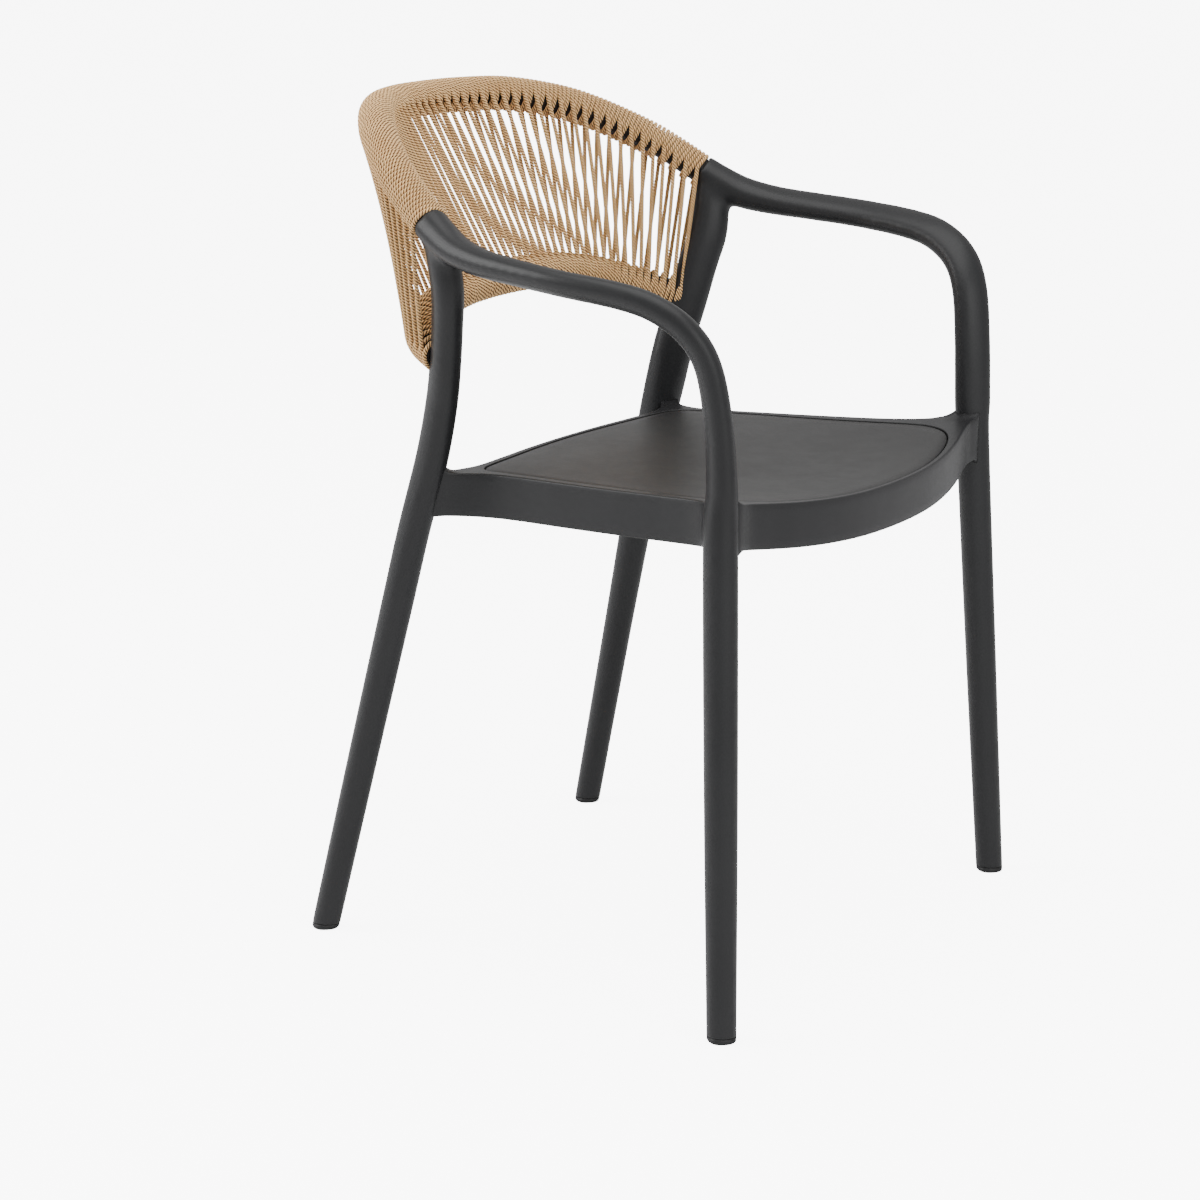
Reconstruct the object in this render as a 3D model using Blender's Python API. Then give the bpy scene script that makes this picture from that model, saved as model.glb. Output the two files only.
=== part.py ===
"""Stacking armchair: two moulded side frames, a moulded seat frame with an inset seat panel,
and a bowl-shaped back of two rails bound with one twisted rope.

Metres, +Z up, the sitter faces -Y. The origin is on the floor under the middle of the chair.
Points are given for the left side (+X); the right side is their mirror image.
"""
import math

import bmesh
import bpy
from mathutils import Matrix, Vector

# ---- driving dimensions -------------------------------------------------------------------
GAP = 0.0003                      # clearance kept between touching pieces

# side frame: front leg, arm and the stub that carries the top rail, as (x, y, z) of its middle
LEG_ARM_PATH = [
    (0.2705, -0.2507, 0.0), (0.2582, -0.2362, 0.2150), (0.2461, -0.2221, 0.4300),
    (0.2435, -0.2205, 0.4750), (0.2455, -0.2165, 0.5300), (0.2515, -0.2085, 0.5780),
    (0.2600, -0.1930, 0.6060), (0.2680, -0.1660, 0.6240), (0.2725, -0.1335, 0.6320),
    (0.2750, -0.0798, 0.6370), (0.2673, -0.0260, 0.6410), (0.2600, 0.0090, 0.6440),
    (0.2510, 0.0400, 0.6500), (0.2430, 0.0620, 0.6595), (0.2368, 0.0790, 0.6690),
]
# half width, half thickness and tilt (degrees) of its section, by height on the leg, then by y
LEG_ARM_SECTION = [
    (0.0128, 0.0128, 45), (0.0144, 0.0144, 45), (0.0156, 0.0146, 45),
    (0.0172, 0.0126, 45), (0.0174, 0.0118, 42), (0.0174, 0.0114, 38),
    (0.0174, 0.0112, 34), (0.0174, 0.0110, 30), (0.0174, 0.0108, 26),
    (0.0172, 0.0106, 24), (0.0168, 0.0112, 22), (0.0166, 0.0122, 20),
    (0.0166, 0.0138, 20), (0.0162, 0.0150, 20), (0.0158, 0.0156, 20),
]
# rear leg and post, from the foot up into the arm
POST_PATH = [
    (0.2325, 0.1950, 0.0), (0.2255, 0.1728, 0.1075), (0.2185, 0.1505, 0.2150),
    (0.2115, 0.1280, 0.3225), (0.2075, 0.1143, 0.3870), (0.2040, 0.0975, 0.4550),
    (0.2055, 0.0867, 0.5050), (0.2122, 0.0785, 0.5420), (0.2205, 0.0712, 0.5810),
    (0.2290, 0.0655, 0.6120), (0.2345, 0.0665, 0.6400), (0.2372, 0.0705, 0.6590),
]
POST_SECTION = [
    (0.0126, 0.0126, 45), (0.0133, 0.0133, 45), (0.0142, 0.0138, 45),
    (0.0158, 0.0142, 45), (0.0172, 0.0142, 45), (0.0198, 0.0140, 45),
    (0.0200, 0.0138, 45), (0.0198, 0.0136, 45), (0.0194, 0.0136, 45),
    (0.0190, 0.0142, 45), (0.0172, 0.0142, 45), (0.0150, 0.0132, 45),
]
SECTION_SIDES = 16
SQUARENESS = 2.35                 # 2 is an ellipse, more is squarer
LEG_ARM_STATIONS = 44
POST_STATIONS = 26

# back rails: middle line of each core, half of it, from the side frame to the centre
TOP_RAIL_PATH = [
    (0.2368, 0.0790, 0.6690), (0.2244, 0.1078, 0.6881), (0.2103, 0.1324, 0.7035),
    (0.1804, 0.1686, 0.7237), (0.1514, 0.1954, 0.7358), (0.1068, 0.2253, 0.7447),
    (0.0553, 0.2443, 0.7464), (0.0, 0.2508, 0.7464),
]
LOWER_RAIL_PATH = [
    (0.2110, 0.0850, 0.5500), (0.1965, 0.1090, 0.5565), (0.1760, 0.1270, 0.5640),
    (0.1400, 0.1425, 0.5745), (0.0750, 0.1525, 0.5840), (0.0, 0.1555, 0.5865),
]
RAIL_RADIUS = 0.0126
RAIL_STATIONS = 41
SPIGOT_RADIUS = 0.0070
# for each rail: how far its spigots reach past its ends, how far they run back inside it,
# and where the first crossing of the rope starts, from the ends
RAIL_FIT = {"top": (0.0220, 0.0050, GAP), "lower": (0.0060, 0.0340, 0.0160)}

# rope
ROPE_DIAMETER = 0.0042
COURSES = 49                      # times the rope crosses between the rails, on each face
WRAP_SIDES = 12

# seat outlines, half of each, from the front centre round to the rear centre
FRAME_OUTLINE = [
    (0.0, -0.2655), (0.0600, -0.2633), (0.1100, -0.2570), (0.1550, -0.2476),
    (0.1900, -0.2378), (0.2130, -0.2325), (0.2350, -0.2325), (0.2510, -0.2200),
    (0.2420, -0.2060), (0.2225, -0.1880), (0.2120, -0.1500), (0.2040, -0.0900),
    (0.1965, -0.0300), (0.1910, 0.0120), (0.1895, 0.0400), (0.1930, 0.0580),
    (0.2010, 0.0740), (0.2105, 0.0865), (0.2040, 0.0965), (0.1810, 0.0875),
    (0.1560, 0.0810), (0.1150, 0.0830), (0.0600, 0.0873), (0.0, 0.0890),
]
PANEL_OUTLINE = [
    (0.0, -0.2590), (0.0560, -0.2570), (0.1040, -0.2505), (0.1440, -0.2405),
    (0.1700, -0.2300), (0.1850, -0.2195), (0.1940, -0.2070), (0.1985, -0.1930),
    (0.1992, -0.1780), (0.1980, -0.1600), (0.1945, -0.1300), (0.1890, -0.0800),
    (0.1840, -0.0250), (0.1800, 0.0080), (0.1778, 0.0320), (0.1765, 0.0470),
    (0.1748, 0.0550), (0.1704, 0.0618), (0.1640, 0.0665), (0.1560, 0.0690),
    (0.1400, 0.0712), (0.1050, 0.0745), (0.0550, 0.0790), (0.0, 0.0810),
]
POINTS_PER_SPAN = 2
SEAT_Z = 0.4466                   # height of the seat plane at y = 0
SEAT_SLOPE = 0.0594               # rise per metre towards the front
SEAT_HALF_WIDTH = 0.2268
SEAT_FRONT, SEAT_REAR = -0.2655, 0.0890
FRONT_DIP = 0.0175                # how far the middle of the front edge hangs below its ends
BAND_HEIGHT = 0.0400
BAND_LEAN = 0.25                  # the band leans back with the posts at its rear corners
BAND_LEAN_FROM = (0.1400, 0.0450)
WALL = 0.0040
FLANGE = 0.0080                   # thickness of the frame under its top face
GROOVE = 0.0012                   # width of the joint round the panel
PANEL_THICKNESS = 0.0045
PANEL_STEP = 0.0006               # the panel stands this far below the frame's top face
LEDGE = 0.0080
PANEL_RINGS = (1.0, 0.86, 0.68, 0.46, 0.22)
CROSS_RIB_DEPTH, LONG_RIB_DEPTH = 0.0140, 0.0110
RIB_THICKNESS = 0.0030
CROSS_RIBS_Y = (-0.1900, -0.1130, -0.0360, 0.0380)
LONG_RIBS_X = (-0.0900, 0.0, 0.0900)

# lugs that bolt the seat frame to the side frames: (x, y), half sizes
LUGS = {"front": (0.2200, -0.2160, 0.0135, 0.0135), "rear": (0.1800, 0.0725, 0.0100, 0.0095)}
LUG_DROP = 0.0330
BOLT_DROPS = {"upper": 0.0160, "lower": 0.0310}
BOLT_AIM = {"front": (0.0255, -0.0055), "rear": (0.0240, 0.0255)}
BOLT_HEAD = (0.0040, 0.0055)      # length, radius
BOLT_SHANK = (0.0300, 0.0028)
BOLT_SETBACK = 0.0070             # from the middle of the lug back to the head
PANEL_SCREWS = 8
SCREW_HEAD = (0.0022, 0.0035)
SCREW_SHANK = (0.0062, 0.0015)

FOOT_STEM_RADIUS = 0.0065
FOOT_STEM_LENGTH = 0.0180
FOOT_HEIGHT = 0.0060

SIDES = {"left": 1, "right": -1}

# ---- scene and materials ------------------------------------------------------------------
for leftover in list(bpy.data.objects):
    bpy.data.objects.remove(leftover, do_unlink=True)

assembly = bpy.data.objects.new("assembly", None)
bpy.context.scene.collection.objects.link(assembly)

FINISHES = {
    "plastic": ((0.045, 0.045, 0.048, 1.0), 0.42, 0.0),
    "panel_plastic": ((0.050, 0.049, 0.050, 1.0), 0.50, 0.0),
    "rope": ((0.520, 0.330, 0.170, 1.0), 0.80, 0.0),
    "glide_nylon": ((0.030, 0.030, 0.032, 1.0), 0.55, 0.0),
    "zinc": ((0.620, 0.620, 0.600, 1.0), 0.35, 1.0),
}


def finish(obj, kind):
    """Give obj a material of its own, named after it."""
    color, roughness, metallic = FINISHES[kind]
    material = bpy.data.materials.new(obj.name)
    material.use_nodes = True
    shader = material.node_tree.nodes["Principled BSDF"]
    shader.inputs["Base Color"].default_value = color
    shader.inputs["Roughness"].default_value = roughness
    shader.inputs["Metallic"].default_value = metallic
    obj.data.materials.clear()
    obj.data.materials.append(material)


def add_object(name, bm, kind=None):
    """Turn a bmesh into an object; a piece has a finish, a cutter has none."""
    bmesh.ops.recalc_face_normals(bm, faces=bm.faces)
    mesh = bpy.data.meshes.new(name)
    bm.to_mesh(mesh)
    bm.free()
    obj = bpy.data.objects.new(name, mesh)
    bpy.context.scene.collection.objects.link(obj)
    obj.parent = assembly
    if kind is None:
        obj.hide_render = True
        obj.display_type = "WIRE"
    else:
        finish(obj, kind)
        mesh.shade_smooth()
        mesh.set_sharp_from_angle(angle=math.radians(40))
    return obj


def boolean(obj, other, operation):
    modifier = obj.modifiers.new(f"{operation.lower()} {other.name}", "BOOLEAN")
    modifier.operation = operation
    modifier.solver = "EXACT"
    modifier.object = other


# ---- curves and sweeps --------------------------------------------------------------------
def mirrored(points, side):
    return [Vector((side * p[0], *p[1:])) for p in points]


def whole(half):
    """A half path or outline made whole: from the right end to the left end."""
    return [Vector((-p[0], *p[1:])) for p in half[:-1]] + [Vector(p) for p in reversed(half)]


def spline_point(points, position, closed=False):
    """Catmull-Rom curve through points; position counts in points from the first."""
    count = len(points)
    index = min(int(position), count - (1 if closed else 2))
    t = position - index
    if closed:
        a, b, c, d = (points[(index + k) % count] for k in (-1, 0, 1, 2))
    else:
        b, c = points[index], points[index + 1]
        a = points[index - 1] if index > 0 else 2 * b - c
        d = points[index + 2] if index + 2 < count else 2 * c - b
    return 0.5 * (2 * b + (c - a) * t + (2 * a - 5 * b + 4 * c - d) * t * t
                  + (3 * b - a - 3 * c + d) * t ** 3)


def sample_by_length(points, count, trim=0.0):
    """count positions evenly spaced along the curve through points, trim inside its ends."""
    steps = 40 * (len(points) - 1)
    positions = [i * (len(points) - 1) / steps for i in range(steps + 1)]
    places = [spline_point(points, p) for p in positions]
    lengths = [0.0]
    for a, b in zip(places, places[1:]):
        lengths.append(lengths[-1] + (b - a).length)
    found, i = [], 0
    for k in range(count):
        wanted = trim + (lengths[-1] - 2 * trim) * k / (count - 1)
        while i < steps - 1 and lengths[i + 1] < wanted:
            i += 1
        span = lengths[i + 1] - lengths[i]
        found.append(positions[i] + (wanted - lengths[i]) / span * (positions[i + 1] - positions[i]))
    return found


def section_ring(center, tangent, half_width, half_thickness, tilt, sides, side=1, squareness=2.0):
    """A superellipse square to tangent; its width leans from outside towards the front or top."""
    outward = Vector((side, 0, 0))
    outward = (outward - outward.dot(tangent) * tangent).normalized()
    crown = outward.cross(tangent) * side
    wide = outward * math.cos(tilt) + crown * math.sin(tilt)
    thin = crown * math.cos(tilt) - outward * math.sin(tilt)
    ring = []
    for k in range(sides):
        angle = 2 * math.pi * (k + 0.5) / sides
        c, s = math.cos(angle), math.sin(angle)
        u = math.copysign(abs(c) ** (2 / squareness), c)
        v = math.copysign(abs(s) ** (2 / squareness), s)
        ring.append(center + wide * (half_width * u) + thin * (half_thickness * v))
    return ring


def skin(bm, rings, closed=False):
    """Faces between rings of equal count, with the two ends filled unless closed."""
    loops = [[bm.verts.new(p) for p in ring] for ring in rings]
    pairs = list(zip(loops, loops[1:]))
    if closed:
        pairs.append((loops[-1], loops[0]))
    else:
        bm.faces.new(loops[0])
        bm.faces.new(loops[-1])
    for a, b in pairs:
        for k in range(len(a)):
            n = (k + 1) % len(a)
            bm.faces.new((a[k], a[n], b[n], b[k]))


def limb(path, sections, stations, side, grow=0.0):
    """A leg, arm or post: its section changes along its path; grow makes a cutter."""
    points = mirrored(path, side)
    values = [Vector(s) for s in sections]
    rings = []
    for position in sample_by_length(points, stations):
        center = spline_point(points, position)
        ahead = spline_point(points, min(position + 0.01, len(points) - 1))
        behind = spline_point(points, max(position - 0.01, 0))
        width, thickness, tilt = spline_point(values, position)
        rings.append(section_ring(center, (ahead - behind).normalized(), width + grow,
                                  thickness + grow, math.radians(tilt), SECTION_SIDES, side,
                                  SQUARENESS))
    bm = bmesh.new()
    skin(bm, rings)
    return bm


def rod(start, end, radius, sides=12):
    """A straight round rod."""
    bm = bmesh.new()
    length = (end - start).length
    turn = (end - start).to_track_quat("Z", "Y").to_matrix().to_4x4()
    place = Matrix.Translation((start + end) / 2) @ turn
    bmesh.ops.create_cone(bm, cap_ends=True, segments=sides, radius1=radius, radius2=radius,
                          depth=length, matrix=place)
    return bm


def joined(*parts):
    """One bmesh holding the faces of several."""
    bm = bmesh.new()
    for part in parts:
        mesh = bpy.data.meshes.new("joined")
        part.to_mesh(mesh)
        part.free()
        bm.from_mesh(mesh)
        bpy.data.meshes.remove(mesh)
    return bm


def stepped_rod(start, direction, steps):
    """A turned pin: steps are (length, radius) from start along direction."""
    turn = direction.to_track_quat("Z", "Y").to_matrix()
    across, up = turn.col[0], turn.col[1]
    rings, along = [], 0.0
    for length, radius in steps:
        for reach in (along, along + length):
            center = start + direction * reach
            rings.append([center + radius * (across * math.cos(a) + up * math.sin(a))
                          for a in (2 * math.pi * k / 12 for k in range(12))])
        along += length
    bm = bmesh.new()
    skin(bm, rings)
    return bm


# ---- side frames --------------------------------------------------------------------------
def make_side_frame(name, side):
    frame = add_object(f"side_frame_{name}", limb(LEG_ARM_PATH, LEG_ARM_SECTION,
                                                  LEG_ARM_STATIONS, side), "plastic")
    post = add_object(f"cutter_post_{name}", limb(POST_PATH, POST_SECTION, POST_STATIONS, side))
    boolean(frame, post, "UNION")
    return frame


def limb_cutters(name, side):
    """The side frame grown by the gap, to cut the pieces that butt against it."""
    return [
        add_object(f"cutter_arm_{name}_grown", limb(LEG_ARM_PATH, LEG_ARM_SECTION,
                                                    LEG_ARM_STATIONS, side, GAP)),
        add_object(f"cutter_post_{name}_grown", limb(POST_PATH, POST_SECTION,
                                                     POST_STATIONS, side, GAP)),
    ]


# ---- seat ---------------------------------------------------------------------------------
def seat_height(x, y):
    """Height of the seat's top face: a slope, with the front edge hanging in the middle."""
    across = max(0.0, 1 - (abs(x) / SEAT_HALF_WIDTH) ** 2.25)
    along = min(1.0, max(0.0, (SEAT_REAR - y) / (SEAT_REAR - SEAT_FRONT)))
    along = along * along * (3 - 2 * along)
    return SEAT_Z - SEAT_SLOPE * y - FRONT_DIP * across * along


def outline(half, inset=0.0):
    """The closed outline through a half and its mirror, moved inwards by inset."""
    points = [Vector(p) for p in half] + [Vector((-p[0], p[1])) for p in reversed(half[1:-1])]
    count = POINTS_PER_SPAN * len(points)
    loop = [spline_point(points, i / POINTS_PER_SPAN, closed=True) for i in range(count)]
    moved = []
    for i, point in enumerate(loop):
        along = (loop[(i + 1) % count] - loop[i - 1]).normalized()
        moved.append(point + Vector((-along.y, along.x)) * inset)
    return moved


def seat_ring(loop, drop):
    return [Vector((p.x, p.y, seat_height(p.x, p.y) - drop)) for p in loop]


def band_ring(loop, drop):
    """A ring of the band, shifted back with its drop where it meets the posts."""
    ring = seat_ring(loop, drop)
    for p in ring:
        beside = min(1.0, max(0.0, (abs(p.x) - BAND_LEAN_FROM[0]) / 0.040))
        behind = min(1.0, max(0.0, (p.y - BAND_LEAN_FROM[1]) / 0.030))
        p.y += BAND_LEAN * drop * beside * behind
    return ring


def make_seat_frame(cutters):
    edge = 0.0016
    outer, edge_in, wall_in = (outline(FRAME_OUTLINE, d) for d in (0.0, edge, WALL))
    groove = outline(PANEL_OUTLINE, -GROOVE)
    ledge = outline(PANEL_OUTLINE, LEDGE)
    seat_drop = PANEL_STEP + PANEL_THICKNESS + GAP
    rings = [
        seat_ring(edge_in, 0.0), band_ring(outer, edge), band_ring(outer, BAND_HEIGHT),
        band_ring(wall_in, BAND_HEIGHT), band_ring(wall_in, FLANGE),
        seat_ring(ledge, FLANGE + 0.001), seat_ring(ledge, seat_drop),
        seat_ring(groove, seat_drop), seat_ring(groove, 0.0),
    ]
    bm = bmesh.new()
    skin(bm, rings, closed=True)
    seat_frame = add_object("seat_frame", bm, "plastic")
    for label, (x, y, half_x, half_y) in LUGS.items():
        for name, side in SIDES.items():
            top = seat_height(x, y) - FLANGE + 0.002
            lug = bmesh.new()
            size = Matrix.Diagonal((2 * half_x, 2 * half_y, LUG_DROP, 1))
            place = Matrix.Translation((side * x, y, top - LUG_DROP / 2))
            bmesh.ops.create_cube(lug, size=1, matrix=place @ size)
            boolean(seat_frame, add_object(f"cutter_lug_{label}_{name}", lug), "UNION")
    for cutter in cutters:
        boolean(seat_frame, cutter, "DIFFERENCE")
    return seat_frame


def rib(start, end, depth):
    """An upright rib under the panel, from start to end in plan, following the seat's curve."""
    along = (end - start).normalized()
    side = Vector((-along.y, along.x)) * RIB_THICKNESS / 2
    rings = []
    for k in range(11):
        p = start.lerp(end, k / 10)
        top = seat_height(p.x, p.y) - PANEL_STEP - PANEL_THICKNESS / 2
        rings.append([Vector((*(p + s), z)) for s, z in
                      ((side, top), (-side, top), (-side, top - depth), (side, top - depth))])
    bm = bmesh.new()
    skin(bm, rings)
    return bm


def make_seat_panel():
    loop = outline(PANEL_OUTLINE)
    middle = Vector((0.0, (PANEL_OUTLINE[0][1] + PANEL_OUTLINE[-1][1]) / 2))
    rounding = 0.0012
    top, under = [], []
    for scale in PANEL_RINGS:
        scaled = [middle + (p - middle) * scale for p in loop]
        under.append(seat_ring(scaled, PANEL_STEP + PANEL_THICKNESS))
        if scale == 1.0:
            top.append(seat_ring(loop, PANEL_STEP + rounding))
            scaled = outline(PANEL_OUTLINE, rounding)
        top.append(seat_ring(scaled, PANEL_STEP))
    bm = bmesh.new()
    skin(bm, list(reversed(under)) + top)
    bmesh.ops.triangulate(bm, faces=[f for f in bm.faces if len(f.verts) > 4])
    panel = add_object("seat_panel", bm, "panel_plastic")
    for number, y in enumerate(CROSS_RIBS_Y):
        reach = 0.155 if y > 0 else 0.165
        bar = rib(Vector((-reach, y)), Vector((reach, y)), CROSS_RIB_DEPTH)
        boolean(panel, add_object(f"cutter_cross_rib_{number}", bar), "UNION")
    for number, x in enumerate(LONG_RIBS_X):
        bar = rib(Vector((x, CROSS_RIBS_Y[0] - 0.02)), Vector((x, CROSS_RIBS_Y[-1] + 0.015)),
                  LONG_RIB_DEPTH)
        boolean(panel, add_object(f"cutter_long_rib_{number}", bar), "UNION")
    return panel


# ---- fasteners ----------------------------------------------------------------------------
def fasten(name, start, direction, head, shank, pieces, recess=0.0):
    """A screw whose head begins at start, and its hole through pieces; head, shank: length, radius."""
    add_object(name, stepped_rod(start, direction, [head, shank]), "zinc")
    hole = stepped_rod(start - direction * (recess + GAP), direction,
                       [(head[0] + recess + GAP, head[1] + GAP), (shank[0] + GAP, shank[1] + GAP)])
    cutter = add_object(f"cutter_{name}", hole)
    for piece in pieces:
        boolean(piece, cutter, "DIFFERENCE")


def bolt_side_frames(seat_frame, frames):
    """Bolts run outwards from inside the seat frame, through a lug, into a leg or a post."""
    for end, (x, y, _, _) in LUGS.items():
        for name, side in SIDES.items():
            aim = Vector((side * BOLT_AIM[end][0], BOLT_AIM[end][1], 0)).normalized()
            for level, drop in BOLT_DROPS.items():
                start = Vector((side * x, y, seat_height(x, y) - drop)) - aim * BOLT_SETBACK
                fasten(f"seat_bolt_{end}_{level}_{name}", start, aim,
                       BOLT_HEAD, BOLT_SHANK, [seat_frame, frames[name]], recess=0.010)


def screw_panel(seat_frame, seat_panel):
    """Short screws come up through the ledge of the seat frame into the panel."""
    places = outline(PANEL_OUTLINE, LEDGE / 2)
    for number in range(PANEL_SCREWS):
        place = places[int((number + 0.5) * len(places) / PANEL_SCREWS)]
        under = seat_height(place.x, place.y) - FLANGE - 0.0012
        start = Vector((place.x, place.y, under - SCREW_HEAD[0]))
        fasten(f"panel_screw_{number + 1}", start, Vector((0, 0, 1)), SCREW_HEAD, SCREW_SHANK,
               [seat_frame, seat_panel], recess=0.002)


# ---- feet ---------------------------------------------------------------------------------
def make_foot(label, path, section, side, frame):
    """A nylon glide under a leg, with a stem that is pushed up into the leg."""
    foot, knee = mirrored(path, side)[:2]
    lean = (knee - foot) / (knee - foot).z
    radius = section[0][0]
    profile = [(0.0, radius - 0.0016), (0.0014, radius - 0.0002), (FOOT_HEIGHT - GAP, radius),
               (FOOT_HEIGHT - GAP, FOOT_STEM_RADIUS),
               (FOOT_HEIGHT + FOOT_STEM_LENGTH, FOOT_STEM_RADIUS)]
    rings, grown_rings = [], []
    for k, (height, width) in enumerate(profile):
        angles = [2 * math.pi * (n + 0.5) / SECTION_SIDES for n in range(SECTION_SIDES)]
        rings.append([foot + lean * height + width * Vector((math.cos(a), math.sin(a), 0))
                      for a in angles])
        if k >= 3:
            reach = height + (GAP if k == 4 else -0.004)
            grown_rings.append([foot + lean * reach + (width + GAP)
                                * Vector((math.cos(a), math.sin(a), 0)) for a in angles])
    bm = bmesh.new()
    skin(bm, rings)
    add_object(f"foot_glide_{label}", bm, "glide_nylon")
    hole = bmesh.new()
    skin(hole, grown_rings)
    floor_cut = bmesh.new()
    size = Matrix.Diagonal((0.06, 0.06, 0.04, 1))
    place = Matrix.Translation((foot.x, foot.y, FOOT_HEIGHT - 0.02))
    bmesh.ops.create_cube(floor_cut, size=1, matrix=place @ size)
    boolean(frame, add_object(f"cutter_floor_{label}", floor_cut), "DIFFERENCE")
    boolean(frame, add_object(f"cutter_stem_{label}", hole), "DIFFERENCE")


# ---- back rails and rope ------------------------------------------------------------------
def curve_frame(points, position):
    """Place and direction at a position on the curve through points."""
    ahead = spline_point(points, min(position + 0.01, len(points) - 1))
    behind = spline_point(points, max(position - 0.01, 0))
    return spline_point(points, position), (ahead - behind).normalized()


def rail_frames(path, count, trim=0.0):
    """Evenly spaced places and directions along a whole rail, from right to left."""
    points = whole(path)
    return [curve_frame(points, p) for p in sample_by_length(points, count, trim)]


def tube_rings(stations, radius):
    rings = []
    for center, tangent in stations:
        across = tangent.cross(Vector((0, 0, 1))).normalized()
        up = across.cross(tangent)
        angles = [2 * math.pi * (k + 0.5) / WRAP_SIDES for k in range(WRAP_SIDES)]
        rings.append([center + radius * (across * math.cos(a) + up * math.sin(a))
                      for a in angles])
    return rings


def make_rail(label, path, frames, limbs):
    """A rail core; the spigots on its ends are trapped in sockets in the side frames."""
    reach, back, _ = RAIL_FIT[label]
    stations = rail_frames(path, RAIL_STATIONS, GAP)
    bm = bmesh.new()
    skin(bm, tube_rings(stations, RAIL_RADIUS))
    rail = add_object(f"{label}_rail", bm, "plastic")
    if label == "lower":
        for limb_cutter in limbs:
            boolean(rail, limb_cutter, "DIFFERENCE")
    for name, (center, tangent) in (("right", stations[0]), ("left", stations[-1])):
        out = tangent if name == "left" else -tangent
        spigot = rod(center - out * back, center + out * reach, SPIGOT_RADIUS)
        boolean(rail, add_object(f"cutter_spigot_{label}_{name}", spigot), "UNION")
        hole = rod(center - out * back, center + out * (reach + GAP), SPIGOT_RADIUS + GAP)
        boolean(frames[name], add_object(f"cutter_socket_{label}_{name}", hole), "DIFFERENCE")
        if label == "top":
            trim = rod(center - out * 0.012, center - out * 0.0, RAIL_RADIUS + 2 * ROPE_DIAMETER)
            boolean(frames[name], add_object(f"cutter_face_{name}", trim), "DIFFERENCE")
    return rail


def wrap_sleeve(path):
    """The closed layer of turns round a rail, as a tube."""
    stations = rail_frames(path, RAIL_STATIONS, GAP)
    outer = tube_rings(stations, RAIL_RADIUS + GAP + ROPE_DIAMETER)
    inner = tube_rings(stations, RAIL_RADIUS + GAP)
    bm = bmesh.new()
    skin(bm, outer + list(reversed(inner)), closed=True)
    return bm


def strands(face):
    """The straight runs of rope between the rails; face 1 is the sitter's side, -1 the back."""
    count = COURSES if face > 0 else COURSES - 1
    half_pitches = 2 * COURSES + 1
    first = 1 if face > 0 else 2
    ends = []
    for label, path in (("top", TOP_RAIL_PATH), ("lower", LOWER_RAIL_PATH)):
        stations = rail_frames(path, half_pitches, RAIL_FIT[label][2])
        ends.append(stations[first::2][:count])
    offset = RAIL_RADIUS + GAP + ROPE_DIAMETER / 2
    rods = []
    for (top, along_top), (low, along_low) in zip(*ends):
        fall = (low - top).normalized()
        rods.append(rod(top + along_top.cross(fall).normalized() * face * offset,
                        low + along_low.cross(fall).normalized() * face * offset,
                        ROPE_DIAMETER / 2, sides=4))
    return joined(*rods)


def make_rope(limbs):
    rope = add_object("rope_binding", wrap_sleeve(TOP_RAIL_PATH), "rope")
    lower = add_object("cutter_lower_wrap", wrap_sleeve(LOWER_RAIL_PATH))
    for face, label in ((1, "front"), (-1, "back")):
        boolean(rope, add_object(f"cutter_strands_{label}", strands(face)), "UNION")
    boolean(rope, lower, "UNION")
    for limb_cutter in limbs:
        boolean(rope, limb_cutter, "DIFFERENCE")
    return rope


# ---- assembly -----------------------------------------------------------------------------
side_frames = {name: make_side_frame(name, side) for name, side in SIDES.items()}
limbs = [cutter for name, side in SIDES.items() for cutter in limb_cutters(name, side)]
seat_frame = make_seat_frame(limbs)
seat_panel = make_seat_panel()
bolt_side_frames(seat_frame, side_frames)
screw_panel(seat_frame, seat_panel)
for name, side in SIDES.items():
    make_foot(f"front_{name}", LEG_ARM_PATH, LEG_ARM_SECTION, side, side_frames[name])
    make_foot(f"rear_{name}", POST_PATH, POST_SECTION, side, side_frames[name])
for label, path in (("top", TOP_RAIL_PATH), ("lower", LOWER_RAIL_PATH)):
    make_rail(label, path, side_frames, limbs)
make_rope(limbs)
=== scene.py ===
"""Stacking armchair in charcoal moulded plastic, with a rope-bound bowl back.

Metres, +Z up, the sitter faces -Y, +X is the sitter's left. The pieces follow in the order in
which the chair goes together: side frames, glides, seat frame, seat panel, fasteners, rails, rope.
"""
import math

import bmesh
import bpy
import numpy as np
from mathutils import Matrix, Vector
from mathutils.bvhtree import BVHTree


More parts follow.
